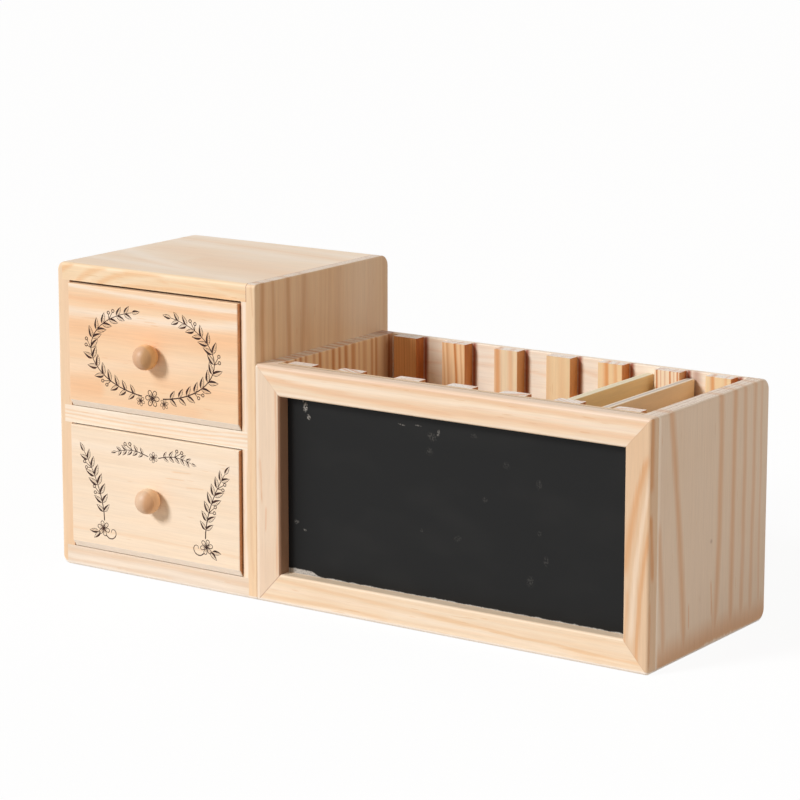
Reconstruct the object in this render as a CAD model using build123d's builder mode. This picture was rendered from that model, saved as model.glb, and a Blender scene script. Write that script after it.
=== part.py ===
from build123d import *
import os
from math import sqrt

# Desk organizer in solid pine: a tower with two drawers, and an open tray whose front is a framed blackboard.
# Millimetres. X runs along the front, the drawers open towards -Y, Z is up.
# The origin is on the underside, in the middle of the rectangle that the two boxes cover.

# Overall sizes
overall_length = 330.0
depth = 107.5
tower_width = 120.0
tower_height = 150.0
tray_height = 113.0

# Tower boards
side_thickness = 8.0
top_thickness = 8.5
base_thickness = 10.0
shelf_thickness = 8.5
back_thickness = 6.0
left_lip = 3.5
right_lip = 5.0
tower_rear_radius = 5.5
tower_left_radius = 4.0
tower_front_radius = 1.8
tower_right_arris = 0.7

# Drawers
drawer_side_play = 0.7
upper_drawer_top_play = 1.0
lower_drawer_top_play = 0.5
drawer_under_play = 0.4
drawer_rear_play = 0.5
front_thickness = 9.0
front_proud = 2.0
front_bevel_height = 3.0
front_bevel_depth = 2.0
front_edge_radius = 0.5
front_lap = 4.0
drawer_side_thickness = 5.0
drawer_side_drop = 10.2
drawer_back_thickness = 5.0
drawer_bottom_thickness = 3.0
drawer_bottom_rise = 4.0
groove_depth = 2.5
groove_play = 0.1

# Knobs and their screws
knob_radius = 6.15
knob_centre_out = 4.8
screw_radius = 1.5
screw_reach = 6.0
screw_head_radius = 3.2
screw_head_height = 2.0
screw_head_rounding = 1.0
screw_recess_length = 3.6
screw_recess_width = 0.9
screw_recess_depth = 1.0
screw_hole_play = 0.25
pilot_play = 0.02

# Tray boards
tray_wall_thickness = 8.0
tray_back_thickness = 8.0
floor_thickness = 6.0
tray_rear_radius = 5.5
tray_front_radius = 1.8
tray_end_radius = 1.5
end_panel_arris = 1.2

# Blackboard and its frame
frame_thickness = 6.5
left_stile_width = 13.6
right_stile_width = 12.7
top_rail_width = 14.0
bottom_rail_width = 14.6
frame_sight_radius = 1.2
blackboard_thickness = 3.0

# Battens, glued on by hand, so each lies a little off its even place
batten_width = 13.5
batten_thickness = 6.0
batten_end_gap = 4.0
front_batten_shifts = (-0.4, -1.8, 1.6, 1.1, 0.4, -0.4, 1.0)
rear_batten_shifts = (0.9, 0.2, 1.1, 1.5, 0.8, 2.1, -0.1)

# Loose dividers between the battens
divider_thickness = 4.2
divider_drop = 3.2
divider_play = 0.6
divider_end_play = 1.0
divider_floor_play = 0.3

# Softened edges of small boards
small_edge_radius = 0.5

# Limits of the tower and its bays
left_x = -overall_length / 2
right_x = overall_length / 2
joint_x = left_x + tower_width
whole_y = (-depth / 2, depth / 2)
front_y, back_y = whole_y
tower_back_y = (back_y - back_thickness, back_y)
tower_inner_x = (left_x + side_thickness, joint_x - side_thickness)
housed_x = (left_x + left_lip, joint_x - right_lip)
bay_height = (tower_height - top_thickness - base_thickness - shelf_thickness) / 2
base_z = (0, base_thickness)
lower_bay_z = (base_z[1], base_z[1] + bay_height)
shelf_z = (lower_bay_z[1], lower_bay_z[1] + shelf_thickness)
upper_bay_z = (shelf_z[1], shelf_z[1] + bay_height)
top_z = (upper_bay_z[1], tower_height)
shelf_y = (front_y, tower_back_y[0])

# Limits of the drawers
drawer_x = (tower_inner_x[0] + drawer_side_play, tower_inner_x[1] - drawer_side_play)
drawer_inner_x = (drawer_x[0] + drawer_side_thickness, drawer_x[1] - drawer_side_thickness)
drawer_centre_x = (drawer_x[0] + drawer_x[1]) / 2
face_y = front_y - front_proud
front_rear_y = face_y + front_thickness
lap_y = (front_rear_y - front_lap, front_rear_y)
drawer_end_y = tower_back_y[0] - drawer_rear_play

# Limits of the tray
tray_wall_y = (front_y + frame_thickness, back_y)
blackboard_y = (tray_wall_y[0], tray_wall_y[0] + blackboard_thickness)
tray_back_y = (back_y - tray_back_thickness, back_y)
tray_inner_x = (joint_x + tray_wall_thickness, right_x - tray_wall_thickness)
tray_inner_y = (blackboard_y[1], tray_back_y[0])

os.makedirs("parts", exist_ok=True)


def save(piece, name):
    """Names a finished piece and writes it to a file of that name."""
    piece.part.label = name
    export_step(piece.part, f"parts/{name}.step")


def span(limits):
    """Distance between two limits."""
    return limits[1] - limits[0]


def plan(x, y, z):
    """Rectangle between two X limits and two Y limits, lying at the height z."""
    with BuildSketch(Plane.XY.offset(z)) as rectangle:
        with Locations((sum(x) / 2, sum(y) / 2)):
            Rectangle(span(x), span(y))
    return rectangle.sketch


# The two boxes are sanded once they are glued, so their rounding runs across the boards
with BuildPart() as tower_outline:
    extrude(plan((left_x, joint_x), whole_y, 0), amount=tower_height)
    fillet(tower_outline.edges().filter_by(Axis.X).group_by(Axis.Y)[-1], tower_rear_radius)
    left_edges = tower_outline.faces().sort_by(Axis.X)[0].edges()
    fillet(left_edges.filter_by(lambda edge: edge.center().Y > front_y + tower_left_radius), tower_left_radius)
    front_edges = tower_outline.faces().sort_by(Axis.Y)[0].edges()
    fillet(front_edges.filter_by(lambda edge: edge.center().X < joint_x - tower_front_radius), tower_front_radius)
    fillet(tower_outline.faces().sort_by(Axis.X)[-1].edges(), tower_right_arris)

with BuildPart() as tray_outline:
    extrude(plan((joint_x, right_x), whole_y, 0), amount=tray_height)
    fillet(tray_outline.edges().filter_by(Axis.X).group_by(Axis.Y)[-1], tray_rear_radius)
    fillet(tray_outline.edges().filter_by(Axis.X).group_by(Axis.Y)[0], tray_front_radius)
    fillet(tray_outline.faces().sort_by(Axis.X)[-1].edges(), tray_end_radius)


# Tower
def tower_side(outer_x, lip_x, inner_x):
    """Upright board with a rabbet for the top, one for the base and a housing for the shelf."""
    housing_x = sorted((lip_x, inner_x))
    with BuildPart() as side:
        extrude(plan(sorted((outer_x, inner_x)), whole_y, 0), amount=tower_height)
        for housing_y, housing_z in ((whole_y, top_z), (whole_y, base_z), (shelf_y, shelf_z)):
            housing = plan(housing_x, housing_y, housing_z[0])
            extrude(housing, amount=span(housing_z), mode=Mode.SUBTRACT)
        add(tower_outline.part, mode=Mode.INTERSECT)
    return side


save(tower_side(left_x, housed_x[0], tower_inner_x[0]), "tower_left_side")
save(tower_side(joint_x, housed_x[1], tower_inner_x[1]), "tower_right_side")

with BuildPart() as tower_top:
    extrude(plan(housed_x, whole_y, top_z[0]), amount=top_thickness)
    add(tower_outline.part, mode=Mode.INTERSECT)
save(tower_top, "tower_top")

with BuildPart() as tower_base:
    extrude(plan(housed_x, whole_y, 0), amount=base_thickness)
    add(tower_outline.part, mode=Mode.INTERSECT)
save(tower_base, "tower_base")

with BuildPart() as tower_shelf:
    extrude(plan(housed_x, shelf_y, shelf_z[0]), amount=shelf_thickness)
save(tower_shelf, "tower_shelf")

with BuildPart() as tower_back:
    extrude(plan(tower_inner_x, tower_back_y, base_z[1]), amount=top_z[0] - base_z[1])
save(tower_back, "tower_back")


# Drawers
def drawer_front(bottom_z, front_height):
    """Front board: bevelled below, rabbeted for the sides, grooved for the bottom, bored for the screw."""
    groove_z = bottom_z + drawer_bottom_rise - groove_play
    with BuildPart() as front:
        with BuildSketch(Plane.YZ.offset(drawer_x[0])):
            with BuildLine():
                Polyline(
                    (face_y, bottom_z + front_bevel_height),
                    (face_y, bottom_z + front_height),
                    (front_rear_y, bottom_z + front_height),
                    (front_rear_y, bottom_z),
                    (face_y + front_bevel_depth, bottom_z),
                    close=True,
                )
            make_face()
        extrude(amount=span(drawer_x))
        shown_y = (face_y - front_edge_radius, face_y + front_bevel_depth)
        shown_edges = front.edges().filter_by_position(Axis.Y, *shown_y, inclusive=(False, False))
        fillet(shown_edges, front_edge_radius)
        for end_x in ((drawer_x[0], drawer_inner_x[0]), (drawer_inner_x[1], drawer_x[1])):
            extrude(plan(end_x, lap_y, bottom_z), amount=front_height, mode=Mode.SUBTRACT)
        groove = plan(drawer_inner_x, (front_rear_y - groove_depth, front_rear_y), groove_z)
        extrude(groove, amount=drawer_bottom_thickness + 2 * groove_play, mode=Mode.SUBTRACT)
        with BuildSketch(Plane.XZ.offset(-front_rear_y)):
            with Locations((drawer_centre_x, bottom_z + front_height / 2)):
                Circle(screw_radius + screw_hole_play)
        extrude(amount=front_thickness, mode=Mode.SUBTRACT)
    return front


def drawer_side(outer_x, inner_x, bottom_z, side_height):
    """Side board from the front's rabbet to the back, grooved for the bottom."""
    outward = 1 if outer_x > inner_x else -1
    side_y = (lap_y[0], drawer_end_y)
    groove_x = sorted((inner_x, inner_x + outward * groove_depth))
    groove_z = bottom_z + drawer_bottom_rise - groove_play
    with BuildPart() as side:
        extrude(plan(sorted((outer_x, inner_x)), side_y, bottom_z), amount=side_height)
        fillet(side.edges().filter_by(Axis.Y).group_by(Axis.Z)[-1], small_edge_radius)
        groove = plan(groove_x, side_y, groove_z)
        extrude(groove, amount=drawer_bottom_thickness + 2 * groove_play, mode=Mode.SUBTRACT)
    return side


def drawer_back(bottom_z, side_height):
    """Back board between the sides, standing on the bottom panel."""
    board_y = (drawer_end_y - drawer_back_thickness, drawer_end_y)
    seat_z = bottom_z + drawer_bottom_rise + drawer_bottom_thickness
    board_z = (seat_z, bottom_z + side_height)
    with BuildPart() as back:
        extrude(plan(drawer_inner_x, board_y, board_z[0]), amount=span(board_z))
        fillet(back.edges().filter_by(Axis.X).group_by(Axis.Z)[-1], small_edge_radius)
    return back


def drawer_bottom(bottom_z):
    """Thin panel in the grooves of the front and the sides."""
    tongue = groove_depth - groove_play
    panel_x = (drawer_inner_x[0] - tongue, drawer_inner_x[1] + tongue)
    panel_y = (front_rear_y - tongue, drawer_end_y)
    with BuildPart() as panel:
        extrude(plan(panel_x, panel_y, bottom_z + drawer_bottom_rise), amount=drawer_bottom_thickness)
    return panel


def knob(centre_z):
    """Turned ball with a flat back, bored for the screw's thread."""
    back_radius = sqrt(knob_radius**2 - knob_centre_out**2)
    ball_y = face_y - knob_centre_out
    tip = (ball_y - knob_radius, centre_z)
    with BuildPart() as ball:
        with BuildSketch(Plane.YZ.offset(drawer_centre_x)):
            with BuildLine():
                Line((face_y, centre_z), (face_y, centre_z + back_radius))
                ThreePointArc((face_y, centre_z + back_radius), (ball_y, centre_z + knob_radius), tip)
                Line(tip, (face_y, centre_z))
            make_face()
        revolve(axis=Axis((drawer_centre_x, face_y, centre_z), (0, 1, 0)))
        with BuildSketch(Plane.XZ.offset(-face_y)):
            with Locations((drawer_centre_x, centre_z)):
                Circle(screw_radius + pilot_play)
        extrude(amount=screw_reach, mode=Mode.SUBTRACT)
    return ball


def knob_screw(centre_z):
    """Pan-head screw with a cross recess: its head lies on the front's inner face."""
    with BuildPart() as screw:
        with BuildSketch(Plane.XZ.offset(-front_rear_y)):
            with Locations((drawer_centre_x, centre_z)):
                Circle(screw_head_radius)
        extrude(amount=-screw_head_height)
        fillet(screw.edges().sort_by(Axis.Y)[-1], screw_head_rounding)
        with BuildSketch(Plane.XZ.offset(-front_rear_y)):
            with Locations((drawer_centre_x, centre_z)):
                Circle(screw_radius)
        extrude(amount=front_thickness + screw_reach - pilot_play)
        with BuildSketch(Plane.XZ.offset(-front_rear_y - screw_head_height)):
            with Locations((drawer_centre_x, centre_z)):
                Rectangle(screw_recess_length, screw_recess_width)
                Rectangle(screw_recess_width, screw_recess_length)
        extrude(amount=screw_recess_depth, mode=Mode.SUBTRACT)
    return screw


# The fronts were fitted by hand, so the upper one stands a little lower in its bay
drawers = (
    ("upper_drawer", upper_bay_z, upper_drawer_top_play),
    ("lower_drawer", lower_bay_z, lower_drawer_top_play),
)
for drawer_name, bay_z, top_play in drawers:
    drawer_z = bay_z[0] + drawer_under_play
    height = span(bay_z) - top_play - drawer_under_play
    side_height = height - drawer_side_drop
    knob_z = drawer_z + height / 2
    save(drawer_front(drawer_z, height), f"{drawer_name}_front")
    save(drawer_side(drawer_x[0], drawer_inner_x[0], drawer_z, side_height), f"{drawer_name}_left_side")
    save(drawer_side(drawer_x[1], drawer_inner_x[1], drawer_z, side_height), f"{drawer_name}_right_side")
    save(drawer_back(drawer_z, side_height), f"{drawer_name}_back")
    save(drawer_bottom(drawer_z), f"{drawer_name}_bottom")
    save(knob(knob_z), f"{drawer_name}_knob")
    save(knob_screw(knob_z), f"{drawer_name}_knob_screw")

# Tray
with BuildPart() as tray_left_wall:
    extrude(plan((joint_x, tray_inner_x[0]), tray_wall_y, 0), amount=tray_height)
    rim_edges = tray_left_wall.edges().filter_by(Axis.Y).group_by(Axis.Z)[-1]
    fillet(rim_edges.sort_by(Axis.X)[-1], small_edge_radius)
    add(tray_outline.part, mode=Mode.INTERSECT)
save(tray_left_wall, "tray_left_wall")

with BuildPart() as tray_end_panel:
    extrude(plan((tray_inner_x[1], right_x), tray_wall_y, 0), amount=tray_height)
    rim_edges = tray_end_panel.edges().filter_by(Axis.Y).group_by(Axis.Z)[-1]
    fillet(rim_edges.sort_by(Axis.X)[0], small_edge_radius)
    front_edges = tray_end_panel.edges().filter_by(Axis.Z).group_by(Axis.Y)[0]
    fillet(front_edges.sort_by(Axis.X)[-1], end_panel_arris)
    add(tray_outline.part, mode=Mode.INTERSECT)
save(tray_end_panel, "tray_end_panel")

with BuildPart() as tray_back_wall:
    extrude(plan(tray_inner_x, tray_back_y, 0), amount=tray_height)
    rim_edges = tray_back_wall.edges().filter_by(Axis.X).group_by(Axis.Z)[-1]
    fillet(rim_edges.sort_by(Axis.Y)[0], small_edge_radius)
    add(tray_outline.part, mode=Mode.INTERSECT)
save(tray_back_wall, "tray_back_wall")

with BuildPart() as tray_floor:
    extrude(plan(tray_inner_x, tray_inner_y, 0), amount=floor_thickness)
save(tray_floor, "tray_floor")

with BuildPart() as blackboard:
    extrude(plan(tray_inner_x, blackboard_y, 0), amount=tray_height)
save(blackboard, "blackboard")

# Frame of the blackboard, mitred from each outer corner to the inner corner beside it
outer_corners = ((joint_x, 0), (right_x, 0), (right_x, tray_height), (joint_x, tray_height))
inner_corners = (
    (joint_x + left_stile_width, bottom_rail_width),
    (right_x - right_stile_width, bottom_rail_width),
    (right_x - right_stile_width, tray_height - top_rail_width),
    (joint_x + left_stile_width, tray_height - top_rail_width),
)
frame_names = ("frame_bottom_rail", "frame_right_stile", "frame_top_rail", "frame_left_stile")

for number, frame_name in enumerate(frame_names):
    following = (number + 1) % len(frame_names)
    sight_start = inner_corners[number]
    sight_end = inner_corners[following]
    sight_middle = Vector((sight_start[0] + sight_end[0]) / 2, front_y, (sight_start[1] + sight_end[1]) / 2)
    with BuildPart() as frame_piece:
        with BuildSketch(Plane.XZ.offset(-front_y)):
            with BuildLine():
                Polyline(outer_corners[number], outer_corners[following], sight_end, sight_start, close=True)
            make_face()
        extrude(amount=-frame_thickness)
        fillet(frame_piece.edges().sort_by_distance(sight_middle)[0], frame_sight_radius)
        add(tray_outline.part, mode=Mode.INTERSECT)
    save(frame_piece, frame_name)

# Battens
batten_count = len(rear_batten_shifts)
batten_pitch = (span(tray_inner_x) - 2 * batten_end_gap - batten_width) / (batten_count - 1)
even_starts = [tray_inner_x[0] + batten_end_gap + number * batten_pitch for number in range(batten_count)]
front_starts = [start + shift for start, shift in zip(even_starts, front_batten_shifts)]
rear_starts = [start + shift for start, shift in zip(even_starts, rear_batten_shifts)]
front_batten_y = (tray_inner_y[0], tray_inner_y[0] + batten_thickness)
rear_batten_y = (tray_inner_y[1] - batten_thickness, tray_inner_y[1])
batten_z = (floor_thickness, tray_height)


def batten(start_x, board_y, open_side):
    """Upright board on the tray's floor, with its two edges on the open side softened."""
    with BuildPart() as board:
        extrude(plan((start_x, start_x + batten_width), board_y, batten_z[0]), amount=span(batten_z))
        fillet(board.edges().filter_by(Axis.Z).group_by(Axis.Y)[open_side], small_edge_radius)
    return board


for number in range(batten_count):
    save(batten(front_starts[number], front_batten_y, -1), f"front_batten_{number + 1}")
    save(batten(rear_starts[number], rear_batten_y, 0), f"rear_batten_{number + 1}")

# Dividers: they stand on either side of the last batten but one
first_divider_end = min(front_starts[-2], rear_starts[-2]) - divider_play
second_divider_start = max(front_starts[-2], rear_starts[-2]) + batten_width + divider_play
divider_starts = (first_divider_end - divider_thickness, second_divider_start)
divider_y = (tray_inner_y[0] + divider_end_play, tray_inner_y[1] - divider_end_play)
divider_z = (floor_thickness + divider_floor_play, tray_height - divider_drop)

for number, start_x in enumerate(divider_starts):
    with BuildPart() as divider:
        extrude(plan((start_x, start_x + divider_thickness), divider_y, divider_z[0]), amount=span(divider_z))
        fillet(divider.edges().filter_by(Axis.Y).group_by(Axis.Z)[-1], small_edge_radius)
    save(divider, f"divider_{number + 1}")
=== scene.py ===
# %% [markdown]
# # A small pine desk organizer
# The object is a wooden tower with two drawers, glued to an open tray whose front is a framed blackboard.
# Every board, knob and screw comes from the frame at its real size, in metres, and stays where it is.
# This lesson gives each board its own piece of pine, paints the blackboard, prints the drawer fronts, and
# lights it all as a small studio picture.

# %% Load the frame
import math

import bpy
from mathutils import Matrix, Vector


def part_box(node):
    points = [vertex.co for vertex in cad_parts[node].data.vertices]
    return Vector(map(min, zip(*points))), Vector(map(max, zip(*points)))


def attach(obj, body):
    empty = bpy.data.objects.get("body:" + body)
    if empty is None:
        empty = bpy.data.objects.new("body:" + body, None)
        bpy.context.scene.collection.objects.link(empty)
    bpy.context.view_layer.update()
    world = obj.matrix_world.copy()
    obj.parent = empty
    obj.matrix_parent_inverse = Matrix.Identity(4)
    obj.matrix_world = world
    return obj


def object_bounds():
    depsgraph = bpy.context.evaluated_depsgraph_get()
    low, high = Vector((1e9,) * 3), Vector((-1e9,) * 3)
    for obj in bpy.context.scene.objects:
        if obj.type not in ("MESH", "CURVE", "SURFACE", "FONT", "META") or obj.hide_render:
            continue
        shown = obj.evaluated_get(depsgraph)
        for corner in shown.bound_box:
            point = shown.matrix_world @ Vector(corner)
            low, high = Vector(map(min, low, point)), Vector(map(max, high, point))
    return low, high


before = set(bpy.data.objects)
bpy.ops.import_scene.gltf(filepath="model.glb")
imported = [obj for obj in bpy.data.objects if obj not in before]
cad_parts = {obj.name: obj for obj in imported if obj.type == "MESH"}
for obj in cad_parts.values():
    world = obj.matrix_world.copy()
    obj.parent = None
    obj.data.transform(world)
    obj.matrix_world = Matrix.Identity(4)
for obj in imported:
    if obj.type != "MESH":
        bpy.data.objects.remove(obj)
frame_low, frame_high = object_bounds()
MM = 0.001
PER_METRE = (1000, 1000, 1000)
frame_size = [round(high - low, 4) for low, high in zip(frame_low, frame_high)]
print("boards and fittings:", len(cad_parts), "size", frame_size)

# %% [markdown]
# ## Small helpers for materials
# A material is a tree of nodes, and most of its steps are a sum, a mix or a soft threshold. Small helpers
# write those steps in one line each, so that the wood below reads from top to bottom.


# %% Helpers that place and join nodes
def colour(red, green, blue):
    """Linear colour with full alpha from three values of 0 to 255, as a picture program gives them."""
    linear = []
    for value in (red / 255, green / 255, blue / 255):
        linear.append(((value + 0.055) / 1.055) ** 2.4 if value > 10 / 255 else value / 12.92)
    return (*linear, 1.0)


def feed(tree, socket, value):
    """Joins a socket to what it is given, or sets it where that is a plain number or colour."""
    if isinstance(value, bpy.types.NodeSocket):
        tree.links.new(value, socket)
    else:
        socket.default_value = value


def maths(tree, operation, first, second=0.0, third=0.0):
    """One step of arithmetic."""
    step = tree.nodes.new("ShaderNodeMath")
    step.operation = operation
    for socket, value in zip(step.inputs, (first, second, third)):
        feed(tree, socket, value)
    return step.outputs[0]


def times(tree, first, second):
    """A product."""
    return maths(tree, "MULTIPLY", first, second)


def stretch(tree, vector, factors):
    """A place stretched by three factors."""
    step = tree.nodes.new("ShaderNodeVectorMath")
    step.operation = "MULTIPLY"
    feed(tree, step.inputs[0], vector)
    step.inputs[1].default_value = factors
    return step.outputs[0]


def coordinates(tree):
    """The texture coordinates of a material, and its place in millimetres."""
    where = tree.nodes.new("ShaderNodeTexCoord").outputs
    return where, stretch(tree, where["Object"], PER_METRE)


def parts_of(tree, vector):
    """The X, Y and Z of a place or direction, as three sockets."""
    step = tree.nodes.new("ShaderNodeSeparateXYZ")
    feed(tree, step.inputs[0], vector)
    return step.outputs


def joined(tree, *values):
    """A place or colour joined from up to three values."""
    step = tree.nodes.new("ShaderNodeCombineXYZ")
    for socket, value in zip(step.inputs, values):
        feed(tree, socket, value)
    return step.outputs[0]


def soft_step(tree, value, start, end, low=0.0, high=1.0):
    """Rises smoothly from low to high while the value goes from start to end."""
    step = tree.nodes.new("ShaderNodeMapRange")
    step.interpolation_type = "SMOOTHSTEP"
    feed(tree, step.inputs["Value"], value)
    feed(tree, step.inputs["From Min"], start)
    feed(tree, step.inputs["From Max"], end)
    step.inputs["To Min"].default_value = low
    step.inputs["To Max"].default_value = high
    return step.outputs[0]


def mix(tree, factor, first, second, blend="MIX"):
    """Mixes two colours."""
    step = tree.nodes.new("ShaderNodeMix")
    step.data_type = "RGBA"
    step.blend_type = blend
    feed(tree, step.inputs["Factor"], factor)
    feed(tree, step.inputs["A"], first)
    feed(tree, step.inputs["B"], second)
    return step.outputs["Result"]


def cloud(tree, place, scale, detail=2.0, seed=None):
    """Soft noise between 0 and 1; a seed makes it differ from board to board."""
    noise = tree.nodes.new("ShaderNodeTexNoise")
    noise.noise_dimensions = "3D" if seed is None else "4D"
    feed(tree, noise.inputs["Vector"], place)
    if seed is not None:
        feed(tree, noise.inputs["W"], seed)
    noise.inputs["Scale"].default_value = scale
    noise.inputs["Detail"].default_value = detail
    return noise.outputs


def surface(tree, shader, base, roughness, specular=0.35):
    """Joins a colour and a roughness to the shader, and sets how strongly it mirrors."""
    feed(tree, shader.inputs["Base Color"], base)
    feed(tree, shader.inputs["Roughness"], roughness)
    shader.inputs["Specular IOR Level"].default_value = specular


def bump(tree, shader, height, strength, depth_mm):
    """Gives the shader a fine relief."""
    relief = tree.nodes.new("ShaderNodeBump")
    relief.inputs["Strength"].default_value = strength
    relief.inputs["Distance"].default_value = depth_mm * MM
    feed(tree, relief.inputs["Height"], height)
    feed(tree, shader.inputs["Normal"], relief.outputs[0])


def new_material(name):
    """A new material; returns it with its tree and its shader."""
    material = bpy.data.materials.new(name)
    material.use_nodes = True
    return material, material.node_tree, material.node_tree.nodes["Principled BSDF"]


# %% [markdown]
# ## Pine
# A board is a slice of a trunk, so its figure is a slice through rings. The group below measures how far
# a place is from the heart of the trunk, divides that by the width of a ring, and darkens the outer part
# of each ring, where the summer wood lies. A board sawn near the heart shows broad waves on its face, and
# one sawn far from it shows stripes. Because the rings are worked out in space, they turn round each edge
# and show on the end grain by themselves, which a flat picture of wood can't do.

# %% The figure of pine, as a node group
pine_sockets = {
    "INPUT": {
        "Place": "Vector", "Lean": "Vector", "Ring width": "Float", "Wander": "Float", "Strength": "Float",
        "Softness": "Float", "Flames_and_shade": "Float", "Pale": "Float", "Blush": "Float", "End grain": "Float",
        "Seed": "Float", "Early wood": "Color", "Late wood": "Color", "End wood": "Color",
    },
    "OUTPUT": {"Color": "Color", "Roughness": "Float", "Height": "Float"},
}
pine_tree = bpy.data.node_groups.new("pine_figure", "ShaderNodeTree")
for direction, kinds in pine_sockets.items():
    for name, kind in kinds.items():
        pine_tree.interface.new_socket(name, in_out=direction, socket_type=f"NodeSocket{kind}")
given = pine_tree.nodes.new("NodeGroupInput").outputs
result = pine_tree.nodes.new("NodeGroupOutput").inputs

tree = pine_tree
seed = given["Seed"]
place_mm = stretch(tree, given["Place"], PER_METRE)

# The trunk bends a little along its length, and small dents follow the rings
slow_drift = cloud(tree, stretch(tree, place_mm, (0.22, 0.22, 1.0)), 0.018, 1.5, seed)["Color"]
quick_drift = cloud(tree, stretch(tree, place_mm, (1.0, 1.0, 0.3)), 0.11, 1.0, seed)["Color"]
slow_parts = parts_of(tree, slow_drift)
quick_parts = parts_of(tree, quick_drift)
place_parts = parts_of(tree, place_mm)
lean_parts = parts_of(tree, given["Lean"])
SLOW_DRIFT_MM = 12.0
QUICK_DRIFT_MM = 1.3
across = []
for number in range(2):
    slow_offset = times(tree, maths(tree, "SUBTRACT", slow_parts[number], 0.5), SLOW_DRIFT_MM)
    quick_offset = times(tree, maths(tree, "SUBTRACT", quick_parts[number], 0.5), QUICK_DRIFT_MM)
    offset = times(tree, maths(tree, "ADD", slow_offset, quick_offset), given["Wander"])
    leaning = maths(tree, "MULTIPLY_ADD", place_parts[2], lean_parts[number], place_parts[number])
    across.append(maths(tree, "ADD", leaning, offset))
squares = [times(tree, value, value) for value in across]
from_heart = maths(tree, "SQRT", maths(tree, "ADD", *squares))

# Good and bad years make wide and narrow rings
rings = maths(tree, "DIVIDE", from_heart, given["Ring width"])
year_noise = tree.nodes.new("ShaderNodeTexNoise")
year_noise.noise_dimensions = "2D"
feed(tree, year_noise.inputs["Vector"], joined(tree, rings, seed))
year_noise.inputs["Scale"].default_value = 0.45
year_noise.inputs["Detail"].default_value = 1.0
YEAR_SWING = 1.6
rings = maths(tree, "MULTIPLY_ADD", year_noise.outputs[0], YEAR_SWING, rings)
through_ring = maths(tree, "FRACT", rings)
ring_number = maths(tree, "FLOOR", rings)
ring_luck = tree.nodes.new("ShaderNodeTexWhiteNoise")
ring_luck.noise_dimensions = "2D"
feed(tree, ring_luck.inputs["Vector"], joined(tree, ring_number, seed))
darkness = soft_step(tree, ring_luck.outputs[0], 0.0, 1.0, 0.35, 1.0)

# Summer wood darkens slowly and stops sharply; where a board is cut along its rings, both sides are soft
softness = given["Softness"]
summer_rise = soft_step(
    tree,
    through_ring,
    maths(tree, "MULTIPLY_ADD", softness, -0.45, 0.55),
    maths(tree, "MULTIPLY_ADD", softness, -0.30, 0.90),
)
fall_start = maths(tree, "MULTIPLY_ADD", softness, -0.33, 0.95)
summer_fall = soft_step(tree, through_ring, fall_start, 1.0, 1.0, 0.0)
summer = times(tree, times(tree, summer_rise, summer_fall), darkness)
summer = times(tree, summer, given["Strength"])
# Flames join the summer wood here, and with them the bands that are painted shade
summer = maths(tree, "MAXIMUM", summer, given["Flames_and_shade"])

# Fibres are hair-thin and long, and short resin lines lie among them
fibre_place = stretch(tree, place_mm, (1.0, 1.0, 0.03))
fibre = cloud(tree, fibre_place, 3.2, 2.0, seed)[0]
strand = cloud(tree, fibre_place, 0.85, 1.0, seed)[0]
resin_noise = cloud(tree, stretch(tree, place_mm, (1.0, 1.0, 0.09)), 1.15, 0.0, seed)[0]
resin = soft_step(tree, resin_noise, 0.76, 0.83)
tint = cloud(tree, stretch(tree, place_mm, (1.0, 1.0, 0.4)), 0.045, 1.0, seed)[0]

PALE_WOOD_AND_HIGHLIGHT = colour(255, 244, 230)
WARMTH = (0.96, 0.84, 0.70, 1.0)
RESIN = (0.86, 0.70, 0.52, 1.0)
wood = mix(tree, summer, given["Early wood"], given["Late wood"])
# Pale bands give pale wood, and the pale bands along lower and front edges are painted highlights
wood = mix(tree, given["Pale"], wood, PALE_WOOD_AND_HIGHLIGHT)
warm = mix(tree, 1.0, wood, WARMTH, "MULTIPLY")
blush = times(tree, soft_step(tree, tint, 0.42, 0.68), given["Blush"])
wood = mix(tree, blush, wood, warm)
fibre_light = maths(tree, "MULTIPLY_ADD", fibre, 0.16, 0.92)
strand_light = maths(tree, "MULTIPLY_ADD", strand, 0.13, 0.935)
light = times(tree, fibre_light, strand_light)
wood = mix(tree, 1.0, wood, joined(tree, light, light, light), "MULTIPLY")
resin_wood = mix(tree, 1.0, wood, RESIN, "MULTIPLY")
wood = mix(tree, times(tree, resin, 0.45), wood, resin_wood)

# Across the grain the cut ends of the fibres are rough, with pores between the rings, and a pale end wood
# is a painted sheen of the lacquer on them
PORE = (0.30, 0.18, 0.11, 1.0)
end_wood = mix(tree, times(tree, summer, 0.8), given["End wood"], given["Late wood"])
pores = soft_step(tree, cloud(tree, place_mm, 1.5, 2.0, seed)[0], 0.50, 0.66)
cut_wood = mix(tree, times(tree, pores, 0.4), end_wood, PORE)
wood = mix(tree, given["End grain"], wood, cut_wood)
feed(tree, result["Color"], wood)
feed(tree, result["Roughness"], maths(tree, "MULTIPLY_ADD", fibre, 0.16, 0.42))
relief = maths(tree, "MULTIPLY_ADD", strand, 0.6, fibre)
feed(tree, result["Height"], maths(tree, "MULTIPLY_ADD", summer, 0.5, relief))
print("pine figure:", len(tree.nodes), "nodes")

# %% [markdown]
# ## One piece of pine for each board
# Two neighbouring boards never come from the same place in a trunk, so each node gets its own material,
# with its own heart, ring width and seed. The heart is given in millimetres in the organizer's own frame,
# across the grain: Y and Z for a board whose grain runs along X, X and Y for an upright board.


# %% Flames: single wide bands of summer wood, and a few bands of painted shade and painted highlight
EDGE_SOFTNESS = 1.5
FADE_SHARE = 1.25
FADE_MM = 2


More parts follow.
